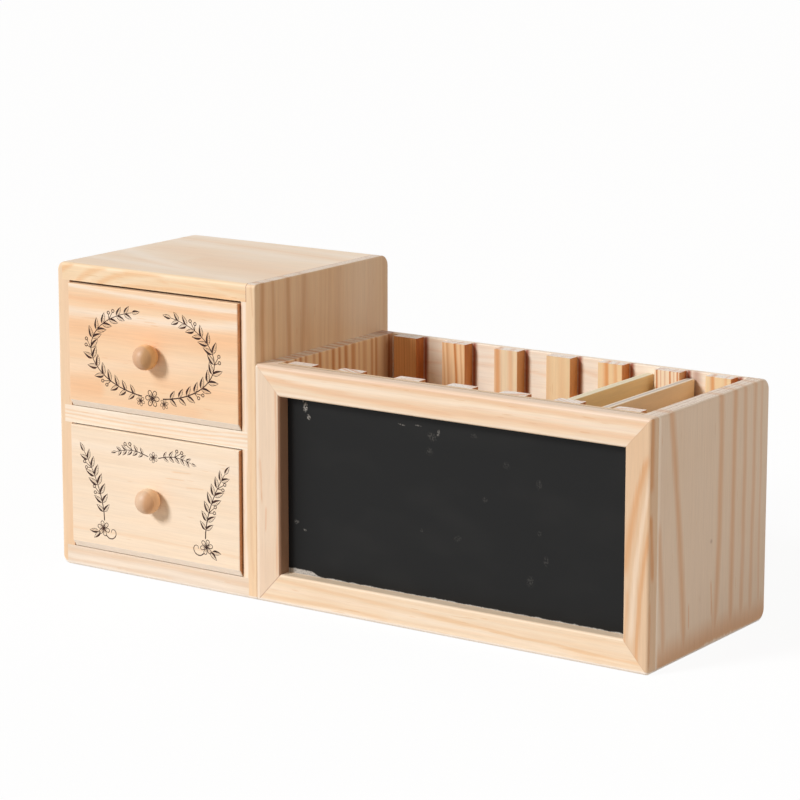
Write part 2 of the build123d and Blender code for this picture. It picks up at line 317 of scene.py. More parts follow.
def curve_through(points):
    """The three numbers of the parabola, or line, through two or three places (along, across)."""
    if len(points) == 2:
        (a0, b0), (a1, b1) = points
        slope = (b1 - b0) / (a1 - a0)
        return b0 - slope * a0, slope, 0.0
    constant = linear = square = 0.0
    for number, (here, height) in enumerate(points):
        first, second = [along for other, (along, across) in enumerate(points) if other != number]
        share = height / ((here - first) * (here - second))
        constant += share * first * second
        linear -= share * (first + second)
        square += share
    return constant, linear, square


def band_strength(tree, along, across, half_width, level, points):
    """How strongly one band shows at a place; it fades out beyond its first and last point."""
    constant, linear, square = curve_through(points)
    centre = maths(tree, "MULTIPLY_ADD", along, square, linear)
    centre = maths(tree, "MULTIPLY_ADD", along, centre, constant)
    away = maths(tree, "ABSOLUTE", maths(tree, "SUBTRACT", across, centre))
    strength = soft_step(tree, away, 0.0, half_width * EDGE_SOFTNESS, abs(level), 0.0)
    first, last = points[0][0], points[-1][0]
    middle, reach = (first + last) / 2, abs(last - first) / 2
    off_middle = maths(tree, "ABSOLUTE", maths(tree, "SUBTRACT", along, middle))
    fading = soft_step(tree, off_middle, reach, reach * FADE_SHARE + FADE_MM, 1.0, 0.0)
    return times(tree, strength, fading)


# %% The grain stands up along Z
def upright(tree, place, grain, heart):
    """The place turned so that the grain runs along Z, and measured from the heart."""
    first, second = heart
    turns = {
        "X": ((0, -90, 0), (second, -first, 0)),
        "Y": ((90, 0, 0), (-first, second, 0)),
        "Z": ((0, 0, 0), (-first, -second, 0)),
    }
    angles, shift = turns[grain]
    step = tree.nodes.new("ShaderNodeMapping")
    feed(tree, step.inputs["Vector"], place)
    step.inputs["Rotation"].default_value = [math.radians(angle) for angle in angles]
    step.inputs["Location"].default_value = [value * MM for value in shift]
    return step.outputs[0]


# %% A material for one board
STAIN_AND_SHADE_UNEVENNESS = 0.1
STAIN_AND_PAINTED_SHADE = (0.32, 0.078, 0.030, 1.0)
KNOT = colour(128, 78, 46)
FACE_STEPS = (0.03, 0.25)


def pine(name, grain, heart, ring_width, strength, early, late, wander=1.0, lean=(0, 0), softness=0.5,
         seed=0.0, blush=0.4, end_wood=(240, 228, 214), knots=(), flames_and_light=None, stains_and_shade=None, faces=(),
         cut_ends=True):
    """Lacquered pine with its grain along one axis of the organizer.

    Flames are grouped by the axes across and along them. Each is half its width, its level and its places
    (along, across), in millimetres, and a level under 0 makes it pale. A few of them are not figure but
    painted shade and painted highlights along lower and front edges. A stain is the same, but darkens the
    wood: dark joints and grain lines, and painted shade in corners and beside battens. A face is (axis,
    side, colour, blend), and gives that colour to faces that look that way; most of these face tints are
    painted light and shade. Two more numbers say at which cosine it starts and is full.
    """
    material, tree, shader = new_material(name)
    where, place_mm = coordinates(tree)
    facing = parts_of(tree, where["Normal"])
    figure = tree.nodes.new("ShaderNodeGroup")
    figure.node_tree = pine_tree
    if flames_and_light or stains_and_shade:
        place_parts = parts_of(tree, place_mm)
        long_waves = [0.25 if axis == grain else 1 for axis in "XYZ"]
        long_fibres = [0.05 if axis == grain else 1 for axis in "XYZ"]
        drift = cloud(tree, stretch(tree, place_mm, long_waves), 0.06, 1.0, seed)[0]
        fringe = cloud(tree, stretch(tree, place_mm, long_fibres), 1.1, 2.0, seed)[0]
        ragged = times(tree, maths(tree, "SUBTRACT", fringe, 0.5), 2.4)
        ragged = maths(tree, "MULTIPLY_ADD", maths(tree, "SUBTRACT", drift, 0.5), 4.0, ragged)

    def band(axes, half_width, level, points, unevenness):
        """One flame or stain, on the faces that it can be seen on."""
        across = maths(tree, "MULTIPLY_ADD", ragged, unevenness, place_parts[axes[0]])
        shown = band_strength(tree, place_parts[axes[1]], across, half_width, level, points)
        side_on = maths(tree, "ABSOLUTE", facing[axes[0]])
        return times(tree, shown, soft_step(tree, side_on, 0.55, 0.8, 1.0, 0.0))

    sums = {"Flames_and_shade": 0.0, "Pale": 0.0, "Stain_and_shade": 0.0}
    for group, bands in (("Flames_and_shade", flames_and_light), ("Stain_and_shade", stains_and_shade)):
        for axes, lines in (bands or {}).items():
            for half_width, level, *points in lines:
                kind = "Pale" if level < 0 else group
                unevenness = min(1.0, half_width) if group == "Flames_and_shade" else STAIN_AND_SHADE_UNEVENNESS
                shown = band(axes, half_width, level, points, unevenness)
                sums[kind] = maths(tree, "MAXIMUM", shown, sums[kind])

    end_grain = 0.0
    if cut_ends:
        end_grain = soft_step(tree, maths(tree, "ABSOLUTE", facing[grain]), 0.75, 0.97)
    settings = {
        "Place": upright(tree, where["Object"], grain, heart),
        "Ring width": ring_width,
        "Wander": wander,
        "Lean": (*lean, 0),
        "Strength": strength,
        "Softness": softness,
        "Flames_and_shade": sums["Flames_and_shade"],
        "Pale": sums["Pale"],
        "Blush": blush,
        "End grain": end_grain,
        "Seed": seed,
        "Early wood": colour(*early),
        "Late wood": colour(*late),
        "End wood": colour(*end_wood),
    }
    for socket_name, value in settings.items():
        feed(tree, figure.inputs[socket_name], value)

    wood = figure.outputs["Color"]
    # Stains darken the wood: dark joints and grain lines, and painted shade in corners and beside battens
    if stains_and_shade:
        darkened = mix(tree, 1.0, wood, STAIN_AND_PAINTED_SHADE, "MULTIPLY")
        wood = mix(tree, sums["Stain_and_shade"], wood, darkened)
    for axis, side, tone, blend, *steps in faces:
        toward = times(tree, facing[axis], side)
        toned = mix(tree, 1.0, wood, tone, blend)
        wood = mix(tree, soft_step(tree, toward, *(steps or FACE_STEPS)), wood, toned)
    for centre, radius in knots:
        away = tree.nodes.new("ShaderNodeVectorMath")
        away.operation = "DISTANCE"
        feed(tree, away.inputs[0], where["Object"])
        away.inputs[1].default_value = [value * MM for value in centre]
        inside = soft_step(tree, away.outputs["Value"], 0.1 * radius * MM, radius * MM, 0.35, 0.0)
        wood = mix(tree, inside, wood, KNOT)
    surface(tree, shader, wood, figure.outputs["Roughness"])
    bump(tree, shader, figure.outputs["Height"], 0.12, 0.06)
    shader.inputs["Coat Weight"].default_value = 0.12
    shader.inputs["Coat Roughness"].default_value = 0.3
    return material


def dress(node_name, material):
    """Gives a CAD node its finished material."""
    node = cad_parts[node_name]
    node.data.materials.clear()
    node.data.materials.append(material)


# %% [markdown]
# ## The boards of the tower and the tray
# The pale boards face the front, and the strongly striped ones lie at the sides of the tray. The colours
# are those of clear-lacquered pine, from cream to honey.

# %% Colours and places that boards share
CREAM = (247, 228, 203)
HONEY = (238, 190, 142)

# Tints for whole faces, all painted light and shade: painted shade on a batten's right side, away from
# the lamp, painted shade on an underside in a narrow gap, and a painted glow of the white floor on a lower
# edge
PAINTED_SIDE_SHADE = ("X", 1, (0.72, 0.43, 0.24, 1.0), "MULTIPLY")
SHADE = ("Z", -1, (0.30, 0.17, 0.11, 1.0), "MULTIPLY")
PAINTED_FLOOR_GLOW = ("Z", -1, colour(252, 246, 238), "MIX")
batten_edges = [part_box(f"rear_batten_{number}")[1].x / MM for number in range(1, 8)]
top_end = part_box("tower_top")[1].x / MM
print("right ends, mm:", [round(edge, 2) for edge in (top_end, *batten_edges)])

# %% Boards of the tower
boards = {}
boards["tower_left_side"] = dict(
    grain="Z", heart=(-190, 20), ring_width=9, strength=0.3, early=(243, 219, 190), late=HONEY,
    faces=(PAINTED_FLOOR_GLOW,),
    # Pale band along the foot: a painted glow of light from the white floor
    flames_and_light=dict(ZX=[(1.6, -0.8, (-170, 0.3), (-155, 0.3))]))
boards["tower_right_side"] = dict(
    grain="Z", heart=(-60, 450), ring_width=4.5, strength=0.2, early=(237, 207, 170),
    late=(206, 154, 106), wander=0.4, softness=0.9, blush=0.3,
    # The front face is lightened against the side's colour: painted light, as the front faces the lamp
    faces=(("Y", -1, (1.09, 1.16, 1.26, 1), "MULTIPLY"), PAINTED_FLOOR_GLOW),
    flames_and_light=dict(YZ=[
        (2, 0.75, (110, -48.3), (150, -48.3)), (1.8, 0.55, (110, -39.6), (150, -40.4)),
        (2.2, 0.65, (110, -27.3), (150, -27.9)), (2.8, 0.55, (110, -17.2), (150, -15.5)),
        (3.4, 0.25, (110, -12), (150, -14)), (4, 0.25, (110, 10.5), (150, 12.5)),
        (20, -0.25, (110, 33), (150, 33)), (2.2, 0.15, (110, 39), (150, 40.2)),
        (1.8, 0.3, (110, 50), (150, 50))], XZ=[
        (1.2, 0.28, (15, -47.6), (70, -48.2)), (1, 0.22, (78, -47.5), (112, -48)),
        (0.9, 0.4, (136, -46.6), (148, -47.4)), (1.3, -0.5, (0, -51.5), (150, -51.5))]))
boards["tower_top"] = dict(
    grain="X", heart=(-35, 420), ring_width=9, strength=0.12, early=(251, 236, 216),
    late=(238, 188, 136), softness=0.9, blush=0.25,
    # The underside is painted shade, and the front face is painted shade too, a little darker and warmer
    # than the top
    faces=(SHADE, ("Y", -1, (0.98, 0.92, 0.8, 1), "MULTIPLY")),
    stains_and_shade=dict(XZ=[(0.28, 0.9, (141, top_end), (150, top_end))]),
    flames_and_light=dict(ZX=[
        (2, 0.5, (-165, 144.5), (-156, 149.5)), (2.2, 0.45, (-153, 141), (-146, 146), (-136, 149)),
        (1.3, -0.5, (-148, 141), (-140, 146), (-126, 149)),
        (2, 0.5, (-142, 140), (-130, 145.8), (-100, 147.5)),
        (1.2, -0.5, (-130, 141.5), (-118, 145), (-60, 144.5)),
        (1.3, 0.45, (-122, 141.6), (-90, 143.2), (-52, 142.4)),
        (1, 0.4, (-100, 147.5), (-75, 147), (-52, 146.5))], YX=[
        (4, -0.7, (-163, -34), (-120, -38), (-60, -47)), (5, -0.8, (-160, -8), (-125, -24), (-90, -40)),
        (4, 0.15, (-160, -20), (-120, -31), (-80, -43)), (13, 0.26, (-150, 8), (-100, -3), (-55, -20)),
        (20, 0.3, (-110, -8), (-48, -24)), (6, -0.6, (-165, 31), (-110, 23), (-50, 16)),
        (2.6, 0.25, (-165, 38), (-110, 33), (-50, 25)), (4, -0.6, (-165, 47), (-110, 42), (-50, 36))]))
boards["tower_base"] = dict(
    grain="X", heart=(-20, 440), ring_width=6, strength=0.2, early=(238, 226, 212),
    late=(234, 196, 154), softness=0.8, blush=0.2, faces=(PAINTED_FLOOR_GLOW,),
    flames_and_light=dict(ZX=[
        (1.8, 0.4, (-165, 7.4), (-110, 8), (-50, 7.2)), (0.9, 0.3, (-165, 3.2), (-100, 2.6)),
        # The last band, pale along the foot, is a painted glow of light from the white floor
        (1.1, -0.5, (-165, 4.8), (-50, 4.6)), (1.6, -1, (-165, 0.3), (-50, 0.3))]))
boards["tower_shelf"] = dict(
    grain="X", heart=(-10, 405), ring_width=3, strength=0.12, early=(253, 243, 228),
    late=(238, 188, 132), wander=0.6, softness=0.6, blush=0.15, faces=(SHADE,),
    flames_and_light=dict(ZX=[
        (0.6, 0.42, (-160, 77.6), (-120, 76.9), (-50, 78.5)),
        (0.65, 0.5, (-160, 75.7), (-120, 75), (-50, 76.4)),
        (0.55, 0.35, (-160, 73.6), (-110, 73), (-50, 74.6)), (0.4, 0.35, (-120, 71.8), (-50, 72.6))]))
boards["tower_back"] = dict(
    grain="Z", heart=(-120, 90), ring_width=7, strength=0.6, early=CREAM, late=HONEY)

# %% Boards of the tray
boards["tray_left_wall"] = dict(
    grain="Z", heart=(-20, 260), ring_width=5.2, strength=0.95, early=(252, 220, 176),
    late=(208, 142, 88), wander=0.25, softness=0.9,
    # The stain near the rear end is painted shade in the tray's rear corner; the rear end face gets plain
    # pine
    faces=(("Y", 1, colour(238, 212, 180), "MIX"), PAINTED_FLOOR_GLOW),
    stains_and_shade=dict(YZ=[(13, 0.6, (0, 49), (113, 49))]))
boards["tray_end_panel"] = dict(
    grain="Z", heart=(365, -13), ring_width=9.5, strength=0.16, early=(237, 219, 199),
    late=(222, 176, 132), wander=0.35, softness=0.9, blush=0.15, faces=(PAINTED_FLOOR_GLOW,),
    knots=(((165, 1.2, 48), 1.6),),
    stains_and_shade=dict(XY=[
        (0.3, 0.4, (-50, 162.9), (50, 162.2)), (0.3, 0.45, (-50, 160.2), (50, 159.2)),
        (0.25, 0.35, (-20, 157.8), (50, 157.2))]),
    flames_and_light=dict(YZ=[
        (2.7, 0.8, (-5, -21), (48, -26.5), (118, -38)), (2.2, 0.65, (0, -39.6), (32, -42.2), (60, -45)),
        (2.5, 0.75, (-5, 4.2), (45, 7.6), (118, 8)), (2.5, 0.75, (-5, 19.8), (60, 20.4), (118, 21.2)),
        (2.2, 0.6, (-5, 29.8), (70, 31.4), (118, 31)), (2.1, 0.6, (-5, 39.4), (60, 40.2), (118, 41)),
        (1.2, 0.4, (-5, 47.4), (118, 46.6)), (0.8, 0.7, (8, 3.4), (27, 1.4)),
        # The last band on this line, pale along the front edge, is a painted highlight on the rounded edge
        (0.5, 0.7, (14, -18), (22, -18.2)), (1.7, -1, (0, -46.8), (113, -46.8))], ZY=[
        # Along the foot: the wide dark band is painted shade, and the thin pale band a painted glow from
        # the floor
        (9, 0.9, (-60, 2), (60, 2)), (1.3, -1, (-60, 0.2), (60, 0.2))], XY=[
        (0.7, -1, (-50, 164.2), (50, 163.8)), (0.7, -1, (-50, 161.6), (50, 160.4)),
        (0.6, -1, (-50, 159), (50, 158))]))
boards["tray_back_wall"] = dict(
    grain="X", heart=(85, 270), ring_width=5, strength=0.2, early=(254, 245, 231), late=HONEY,
    softness=0.8, blush=0.15, faces=(PAINTED_FLOOR_GLOW,),
    # These stains are painted shadow: a dark line on the wall beside each batten and beside the second
    # divider
    stains_and_shade=dict(XY=[
        *[(1.7, 0.95, (43.6, edge + 1.3), (45.8, edge + 1.3)) for edge in batten_edges],
        (3, 0.55, (43.6, 131.5), (45.8, 131.5))]),
    flames_and_light=dict(ZX=[
        (1, 0.3, (-35, 99), (20, 103), (60, 101)), (1.2, 0.35, (60, 108), (100, 104), (150, 108)),
        (1.2, 0.4, (110, 100), (160, 107))]))
boards["tray_floor"] = dict(
    grain="X", heart=(0, -30), ring_width=6, strength=0.6, early=CREAM, late=HONEY)

# %% Boards of the blackboard's frame
boards["frame_top_rail"] = dict(
    grain="X", heart=(-20, 418), ring_width=5, strength=0.2, early=(246, 227, 203),
    late=(234, 188, 146), softness=0.9, wander=0.35, blush=0.25,
    # The top face is painted shade, a little darker and cooler than the front
    faces=(("Z", 1, (0.93, 0.91, 0.94, 1), "MULTIPLY"),),
    stains_and_shade=dict(XZ=[(0.3, 0.12, (99, -31.4), (113, -45)), (0.3, 0.14, (99, 152.3), (113, 165))]),
    flames_and_light=dict(ZX=[
        (1.6, 0.5, (-45, 111.4), (60, 111.2), (165, 110)),
        (2, 0.6, (-45, 107), (10, 104.6), (60, 103.4)),
        (2.1, 0.5, (52, 103.8), (110, 104), (165, 104.4)),
        (1.6, -0.5, (-45, 109.5), (40, 108.2), (165, 107.2)),
        (0.9, -0.5, (-45, 100.4), (60, 100.2), (165, 100.2)), (0.6, 0.4, (-20, 105.4), (60, 103)),
        (0.8, 0.35, (70, 106.4), (130, 107.2), (165, 107))]))
boards["frame_bottom_rail"] = dict(
    grain="X", heart=(-15, -308), ring_width=5, strength=0.2, early=(246, 228, 204),
    late=(232, 188, 136), softness=0.9, wander=0.5, blush=0.25, faces=(PAINTED_FLOOR_GLOW,),
    stains_and_shade=dict(XZ=[(0.3, 0.5, (0, -45), (14.6, -31.4)), (0.3, 0.14, (0, 165), (14.6, 152.3))]),
    flames_and_light=dict(ZX=[
        (1.2, 0.4, (-40, 12.2), (20, 9.8), (60, 8.4)), (1, 0.55, (52, 8.5), (110, 6.4), (165, 5)),
        (1.3, 0.4, (-45, 3.6), (25, 2.6)), (0.9, 0.2, (30, 12.6), (90, 11.6), (150, 12.6)),
        # The last band, pale along the foot, is a painted glow of light from the white floor
        (1.2, -0.4, (-40, 7.8), (60, 5.8), (120, 3.4)), (1.6, -1, (-45, 0.3), (165, 0.3))]))
boards["frame_left_stile"] = dict(
    grain="Z", heart=(-60, -320), ring_width=5, strength=0.12, early=(237, 217, 195),
    # The right side of the stile, the reveal beside the blackboard, is darkened as painted shade
    late=(222, 168, 124), blush=0.1, faces=(("X", 1, (0.42, 0.3, 0.24, 1), "MULTIPLY"), PAINTED_FLOOR_GLOW),
    stains_and_shade=dict(XZ=[(0.3, 0.5, (0, -45), (14.6, -31.4)), (0.3, 0.12, (99, -31.4), (113, -45))]),
    flames_and_light=dict(XZ=[
        (0.7, 0.5, (20, -33.2), (60, -33), (105, -33.6)), (0.7, 0.4, (50, -42), (66, -42.6)),
        (0.6, 0.45, (36, -39.6), (44, -39.4)), (0.8, -0.5, (0, -44), (113, -44.2))]))
boards["frame_right_stile"] = dict(
    grain="Z", heart=(150, -320), ring_width=6, strength=0.16, early=(228, 200, 169),
    late=(218, 164, 114), softness=0.9, wander=1, blush=0.25, faces=(PAINTED_FLOOR_GLOW,),
    stains_and_shade=dict(XZ=[(0.3, 0.14, (99, 152.3), (113, 165)), (0.3, 0.14, (0, 165), (14.6, 152.3))]),
    flames_and_light=dict(XZ=[
        (2, 0.7, (48, 153.6), (68, 156), (92, 162)), (1.4, 0.7, (4, 158.6), (30, 160), (62, 164.5)),
        (0.9, 0.4, (10, 152.8), (34, 154.4)), (1.4, -0.4, (20, 156.2), (60, 160), (88, 165))], YZ=[
        (1.8, 1, (84, -52), (112, -51.6)), (1.6, 1, (44, -50.6), (68, -52.4)),
        (0.8, 0.5, (6, -52.6), (30, -52))]))

# %% Dress the boards
for seed, (name, board) in enumerate(boards.items()):
    dress(name, pine(f"pine_{name}", seed=seed * 3.7, **board))
print("dressed boards:", len(boards))

# %% [markdown]
# ## Drawers
# A drawer is a box of thin pine behind a thicker front, with a turned knob. The wood shows between the
# lines of the print, so each front gets flames of its own. A knob needs no picture of rings: the figure is
# cut by its round shape. Two tints paint light on the knob: painted shade on its right side, and a
# painted highlight on its rim.

# %% Dress the drawers
drawer_looks = {
    "upper_drawer": dict(
        heart=(-10, 412), early=(250, 222, 190), late=(249, 194, 146), blush=0.3, knob=(222, 184, 151),
        shade=(0.82, 0.74, 0.56, 1), rim=(1.27, 1.22, 1.03, 1), flames_and_light=dict(ZX=[
            (1.3, -0.9, (-157, 139.5), (-110, 137.2), (-53, 137.4)),
            (2.2, 0.45, (-157, 133.8), (-100, 133.4), (-53, 134.2)),
            (2.8, -0.7, (-157, 127), (-100, 126.4), (-53, 130)),
            (6, 0.45, (-157, 119.5), (-100, 119), (-53, 122)),
            (4, -0.25, (-157, 100), (-105, 106), (-53, 110.5)), (8, 0.5, (-170, 90), (-138, 90)),
            (4, 0.3, (-150, 84), (-80, 85)), (3.5, 0.3, (-100, 98), (-53, 96))])),
    "lower_drawer": dict(
        heart=(-20, 320), early=(250, 234, 213), late=(236, 194, 146), blush=0.1, knob=(227, 197, 169),
        shade=(0.98, 0.82, 0.66, 1), rim=(1.19, 1.26, 1.28, 1), flames_and_light=dict(ZX=[
            (0.9, 0.3, (-157, 19.6), (-105, 20.6), (-53, 20.2)), (0.4, 0.55, (-92, 55.6), (-84, 56)),
            (0.35, 0.5, (-96, 52.2), (-88, 52.4)), (0.35, 0.5, (-84, 49.2), (-76, 49.6)),
            (3, -0.4, (-157, 62), (-53, 60)), (4, 0.12, (-157, 44), (-53, 40))])),
}
# A painted glow of light from the white floor on the lower bevel of each drawer front
PAINTED_BEVEL_GLOW = ("Z", -1, colour(255, 247, 236), "MIX")
for seed, (drawer, look) in enumerate(drawer_looks.items()):
    pieces = {
        "front": pine(
            f"pine_{drawer}_front", "X", look["heart"], 7, 0.14, look["early"], look["late"],
            seed=50.3 + seed, softness=0.9, blush=look["blush"], end_wood=(214, 148, 100),
            flames_and_light=look["flames_and_light"], faces=(PAINTED_BEVEL_GLOW,)),
        "back": pine(f"pine_{drawer}_back", "X", (60, 150), 5, 0.5, CREAM, HONEY, seed=70.9 + seed),
        "bottom": pine(f"pine_{drawer}_bottom", "X", (0, -60), 7, 0.4, CREAM, HONEY, seed=80.2 + seed),
        "knob": pine(
            f"pine_{drawer}_knob", "Z", (-145, -20), 4, 0.25, look["knob"], (202, 146, 100),
            seed=90.5 + seed, softness=0.9, blush=0.2, cut_ends=False,
            # The first tint is painted shade on the knob's right side, the second a painted highlight on
            # its rim
            faces=(("X", 1, look["shade"], "MULTIPLY", 0.12, 0.55),
                   ("Y", 1, look["rim"], "MULTIPLY", -0.5, -0.3))),
    }
    for side in ("left_side", "right_side"):
        pieces[side] = pine(f"pine_{drawer}_{side}", "Y", (-120, 200), 5, 0.6, CREAM, HONEY,
                            seed=60.1 + seed + len(side))
    for piece, material in pieces.items():
        dress(f"{drawer}_{piece}", material)
print("dressed drawers:", len(drawer_looks))

# %% [markdown]
# ## Battens
# The short upright battens are offcuts, each from another trunk, so some are dark and some nearly white.
# They differ in a few numbers only, so one loop over a small table dresses them all.

# %% Dress the battens
batten_looks = {
    1: (1.5, 0.45, (228, 174, 118), (176, 110, 58), 0.3),
    2: (3.2, 1, (248, 212, 168), (208, 132, 68), 0.9),
    3: (7, 0.9, (249, 228, 194), (232, 168, 112), 0.8),
    4: (9, 0.5, (249, 222, 180), (226, 160, 98), 0.8),
    5: (8, 0.9, (249, 220, 176), (230, 160, 96), 0.7),
    6: (2, 1, (251, 232, 204), (204, 122, 60), 0.4),
    7: (4.5, 0.9, (249, 224, 182), (228, 158, 96), 0.5),
}
LEANING_BATTEN = 2
for number, (ring_width, strength, early, late, softness) in batten_looks.items():
    for row, heart_y in (("front", 60), ("rear", 30)):
        name = f"{row}_batten_{number}"
        low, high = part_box(name)
        heart = ((low.x + high.x) / 2 / MM + (-1) ** number * 60, heart_y)
        # The near-white end wood on each batten's top is a painted sheen, and the face tint is painted
        # shade on its right side
        dress(name, pine(
            f"pine_{name}", "Z", heart, ring_width, strength, early, late, wander=0.3, softness=softness,
            lean=(0.03, 0) if number == LEANING_BATTEN else (0, 0), seed=100.7 + number * 2 + len(row),
            end_wood=(252, 246, 240), faces=(PAINTED_SIDE_SHADE,)))
print("dressed battens:", 2 * len(batten_looks))

# %% [markdown]
# ## Blackboard
# The front of the tray is a thin panel with chalkboard paint. Wiped chalk never leaves it quite clean.

# %% Blackboard paint
CLEAN_PAINT = colour(4, 4, 4)
CHALK = colour(206, 204, 200)
blackboard, tree, shader = new_material("blackboard_paint")
_, place_mm = coordinates(tree)
parts = parts_of(tree, place_mm)
board_low, board_high = [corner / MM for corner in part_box("blackboard")]
print("blackboard panel, mm:", [round(value, 2) for value in board_high - board_low])


def smear(centre, radii, turn=0.0, sharpness=0.7):
    """A soft oval patch on the board, 1 in its middle, at a place across and up in millimetres."""
    aim = tree.nodes.new("ShaderNodeMapping")
    aim.vector_type = "TEXTURE"
    feed(tree, aim.inputs["Vector"], place_mm)
    aim.inputs["Location"].default_value = (centre[0], board_low.y, centre[1])
    aim.inputs["Rotation"].default_value = (0, math.radians(turn), 0)
    aim.inputs["Scale"].default_value = (radii[0], 1000, radii[1])
    length = tree.nodes.new("ShaderNodeVectorMath")
    length.operation = "LENGTH"
    feed(tree, length.inputs[0], aim.outputs[0])
    return soft_step(tree, length.outputs["Value"], 1 - sharpness, 1.0, 1.0, 0.0)


# A trace of wiped dust, a little more of it to the right, and a few crumbs of chalk
wiped = cloud(tree, stretch(tree, place_mm, (0.5, 1, 1)), 0.045, 2.0)[0]
crumbs = cloud(tree, place_mm, 1.2, 2.0)[0]
grit = cloud(tree, place_mm, 1.1, 4.0)[0]
dust = soft_step(tree, wiped, 0.45, 0.75, 0.0, 0.006)
specks = soft_step(tree, crumbs, 0.80, 0.88, 0.0, 0.12)
marks = maths(tree, "MAXIMUM", dust, specks)

# Chalk marks: place, size, turn and how white; the fainter ones are only a breath of dust
CLEAR_MARK = 0.3
FAINTNESS = 0.4
chalk_marks = [
    ((-21.2, 94.4), (1.6, 2.9), 8, 0.75),
    ((-19.4, 89.9), (1.4, 1.7), -35, 0.7),
    ((-22.6, 97.2), (0.8, 1), 0, 0.5),
    ((32.5, 92.9), (2.4, 0.5), 8, 0.38),
    ((41.6, 93.5), (2.4, 0.5), 4, 0.38),
    ((52.4, 91.4), (1, 2.2), 10, 0.36),
    ((49, 89.4), (3.4, 2.6), 30, 0.2),
    ((47.6, 82.6), (2.6, 2.4), 0, 0.13),
    ((71.5, 92.6), (2.8, 1.6), 0, 0.12),
    ((88.5, 81.4), (2.6, 2.2), 20, 0.1),
    ((105.5, 75), (2, 3), 0, 0.12),
    ((77.5, 64.4), (1.8, 1.8), 0, 0.13),
    ((43.5, 45.4), (1.2, 1.2), 0, 0.14),
    ((63, 44.4), (3, 1.8), -25, 0.1),
    ((106, 53), (1.4, 1.6), 0, 0.14),
    ((109.5, 41), (1.8, 3), 0, 0.13),
    ((101.5, 30.6), (2.6, 3.4), 15, 0.12),
    ((-26.6, 39.4), (2, 1.6), 0, 0.3),
    ((-21.8, 36.2), (1.2, 0.9), 30, 0.34),
]
for centre, radii, turn, level in chalk_marks:
    patch = times(tree, smear(centre, radii, turn), soft_step(tree, grit, 0.40, 0.62))
    whiteness = level if level > CLEAR_MARK else level * FAINTNESS
    marks = maths(tree, "MAXIMUM", marks, times(tree, patch, whiteness))

# Crumbs lie along the lower edge, thickest in the left corner, where the paint is worn
DUST_TOP_MM = 14.15
edge_noise = cloud(tree, stretch(tree, place_mm, (1, 1, 0)), 0.25, 3.0)[0]
left_corner = soft_step(tree, parts[0], -20.0, -12.0, 1.9, 0.0)
edge_top = maths(tree, "ADD", maths(tree, "MULTIPLY_ADD", edge_noise, 1.5, DUST_TOP_MM), left_corner)
edge_dust = soft_step(tree, maths(tree, "SUBTRACT", edge_top, parts[2]), -0.25, 0.25)
edge_dust = times(tree, edge_dust, soft_step(tree, grit, 0.30, 0.55, 0.35, 0.8))
marks = maths(tree, "MAXIMUM", marks, edge_dust)
paint = mix(tree, marks, CLEAN_PAINT, CHALK)

# The paint covers the front only, and the cut edges and the back show pale bare wood
mottle = soft_step(tree, cloud(tree, place_mm, 1.2, 3.0)[0], 0.3, 0.7)
bare = mix(tree, mottle, colour(222, 194, 160), colour(236, 214, 186))
painted = soft_step(tree, parts[1], board_low.y + 0.25, board_low.y + 0.35, 1.0, 0.0)
rough_marks = maths(tree, "MULTIPLY_ADD", marks, 0.3, 0.55)
surface(tree, shader, mix(tree, painted, bare, paint), rough_marks, specular=0.25)
bump(tree, shader, cloud(tree, place_mm, 2.2, 2.0)[0], 0.15, 0.05)
dress("blackboard", blackboard)

# %% [markdown]
# ## Dividers
# The loose dividers are thin plywood: two smooth faces over a greyer core, which shows only on the cut
# edges. The layers lie across X, so the distance from the middle of the board tells them apart.


# %% Plywood
def plywood(name, node_name, face, edge, core, seed):
    """Thin plywood of three layers across X, with its fibres along Y."""
    low, high = [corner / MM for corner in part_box(node_name)]
    material, tree, shader = new_material(name)
    where, place_mm = coordinates(tree)
    off_middle = maths(tree, "SUBTRACT", parts_of(tree, place_mm)[0], (low.x + high.x) / 2)
    off_middle = maths(tree, "ABSOLUTE", off_middle)
    fibre = cloud(tree, stretch(tree, place_mm, (1, 0.04, 1)), 2.6, 2.0, seed)[0]
    bands = cloud(tree, stretch(tree, place_mm, (1, 0.06, 1)), 0.16, 2.0, seed)[0]
    darker = [value * 0.95 for value in face]
    smooth_face = mix(tree, soft_step(tree, bands, 0.35, 0.7), colour(*face), colour(*darker))
    layers = soft_step(tree, off_middle, (high.x - low.x) * 0.17, (high.x - low.x) * 0.22)
    cut_edge = mix(tree, layers, colour(*core), colour(*edge))
    on_face = soft_step(tree, maths(tree, "ABSOLUTE", parts_of(tree, where["Normal"])[0]), 0.5, 0.8)
    board = mix(tree, on_face, cut_edge, smooth_face)
    light = maths(tree, "MULTIPLY_ADD", fibre, 0.16, 0.92)
    board = mix(tree, 1.0, board, joined(tree, light, light, light), "MULTIPLY")
    surface(tree, shader, board, maths(tree, "MULTIPLY_ADD", fibre, 0.15, 0.45))
    bump(tree, shader, fibre, 0.1, 0.05)
    return material


divider_looks = {
    "divider_1": ((246, 218, 163), (246, 240, 216), (236, 228, 198), 120.3),
    "divider_2": ((252, 219, 173), (246, 234, 216), (206, 198, 190), 123.9),
}
for name, look in divider_looks.items():
    dress(name, plywood(f"plywood_{name}", name, *look))
print("dressed dividers:", len(divider_looks))

# %% [markdown]
# ## Print on the drawer fronts
# The drawer fronts carry a fine dark brown print. The picture here is a plain plant ornament: a wreath of
# leaves round the upper knob, and two sprigs beside the lower one. It is drawn flat, with X to the right
# and Y up, in millimetres from the knob, and then stood up against the wood as a film of ink 0.05
# millimetre thick.

# %% Ink lines
INK_THICKNESS = 0.05


